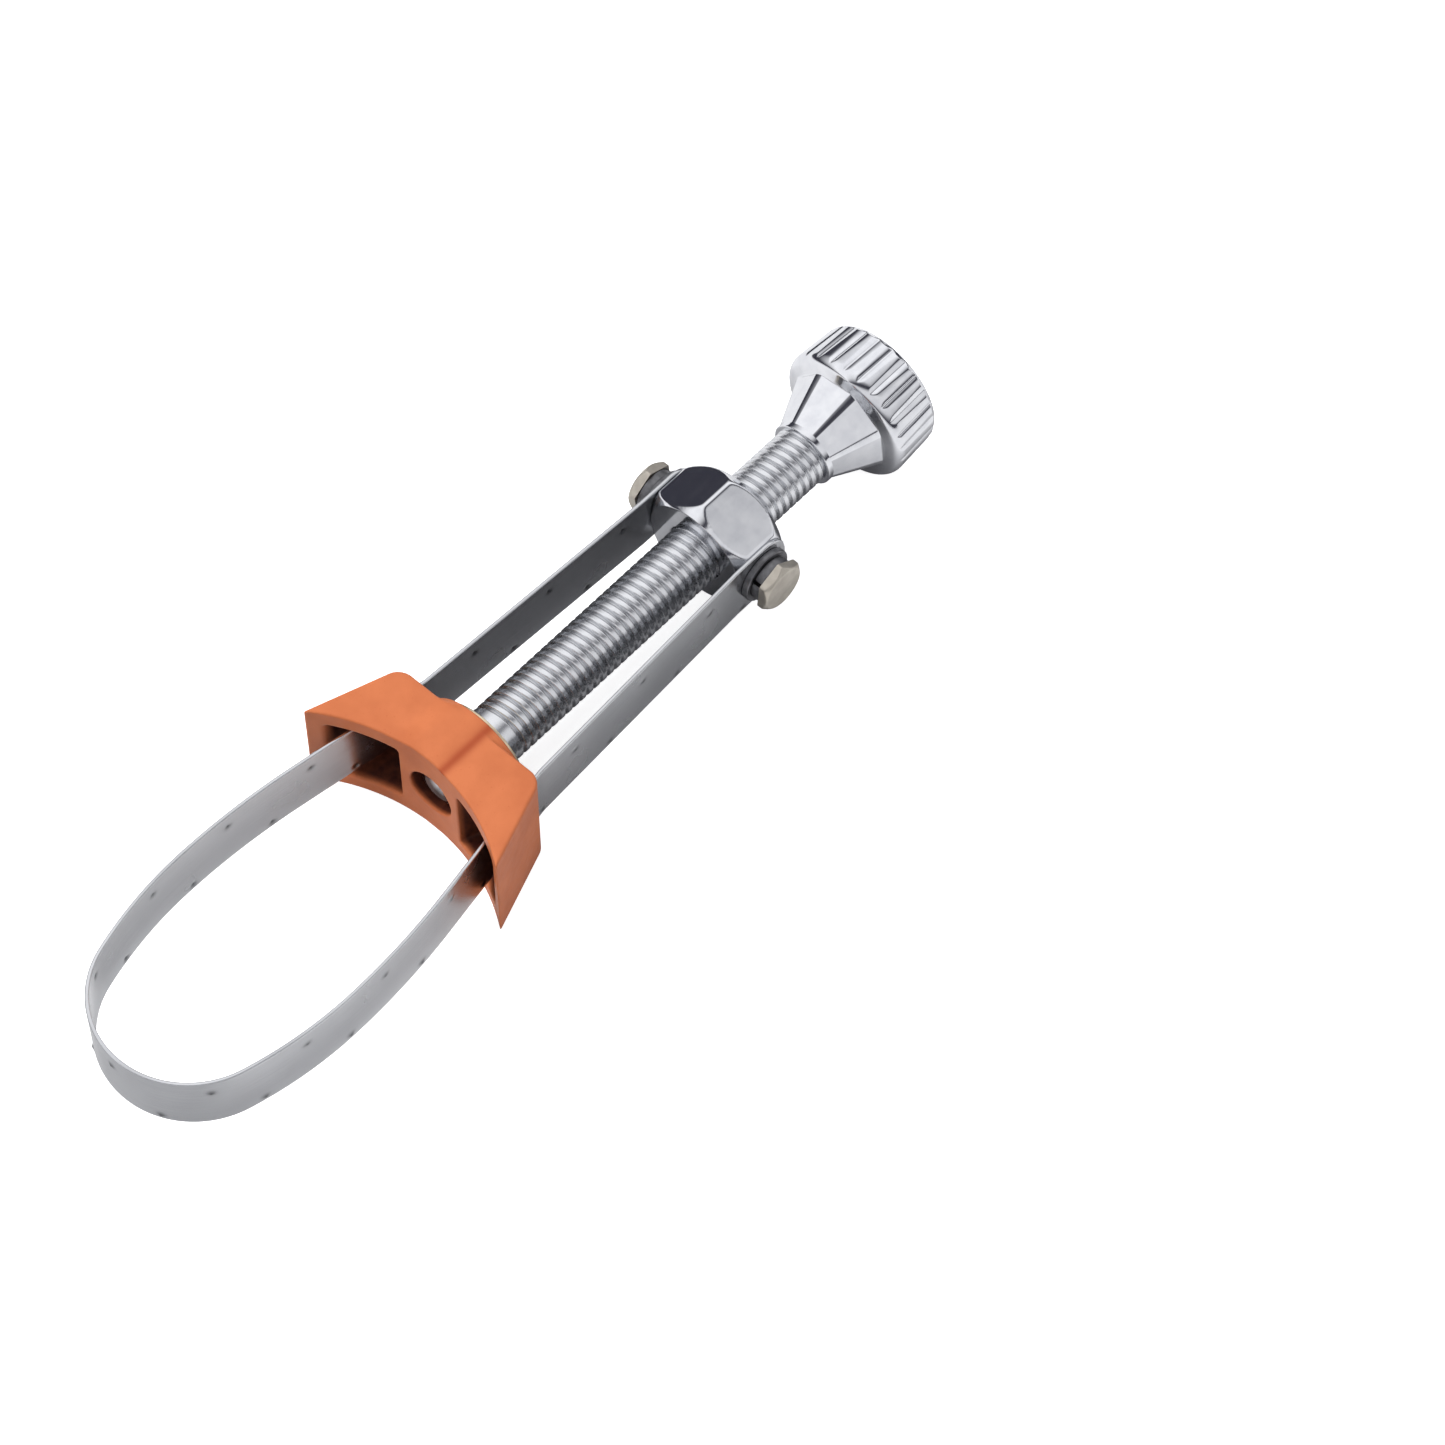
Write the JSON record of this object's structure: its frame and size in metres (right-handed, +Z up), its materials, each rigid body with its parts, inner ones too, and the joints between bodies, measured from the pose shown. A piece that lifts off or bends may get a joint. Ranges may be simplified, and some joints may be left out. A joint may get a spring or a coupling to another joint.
{
  "type": "oil filter wrench",
  "caption": "Steel band loop drawn through a curved saddle by a travelling nut on a long screw with a fluted, octagon-necked knob, to grip an oil filter.",
  "frame": {"origin": "axis of the saddle's round seat at mid-height, the centre of a gripped filter", "axes": "+X along the screw towards the knob, +Z up with the band loop lying flat (the filter's own axis)"},
  "size_m": [0.2126, 0.0508, 0.0304],
  "materials": {
    "saddle": "semi-gloss orange paint over die casting",
    "thrust_washer": "dull turned",
    "retaining_washer": "plain steel",
    "screw": "bright zinc plate over a rolled thread",
    "knob": "bright plating over die casting",
    "nut": "bright plating over machined steel",
    "band": "rolled strip, lightly brushed along its length",
    "bolt": "nickel plate, satin",
    "flat_washer": "dark plated",
    "lock_washer": "dark plated"
  },
  "bodies": {
    "saddle": {"saddle": "saddle", "thrust_washer": "thrust_washer"},
    "screw": {"screw": "screw", "retaining_washer": "retaining_washer", "knob": "knob"},
    "carriage": {"nut": "nut", "band": "band", "bolt_left": "bolt", "bolt_right": "bolt", "flat_washer_left": "flat_washer", "flat_washer_right": "flat_washer", "lock_washer_left": "lock_washer", "lock_washer_right": "lock_washer"}
  },
  "joints": [
    {"name": "screw_spin", "type": "hinge", "parent": "saddle", "child": "screw", "pos_m": [0.05, 0, 0], "axis": [-1, 0, 0], "range_deg": [-10888, 3358]},
    {"name": "nut_slide", "type": "slide", "parent": "saddle", "child": "carriage", "axis": [1, 0, 0], "range_m": [-0.0592, 0.0183], "deforming": ["band"]}
  ],
  "couplings": [
    {"joint": "nut_slide", "follows": "screw_spin", "m_per_rad": 0.00031099}
  ]
}
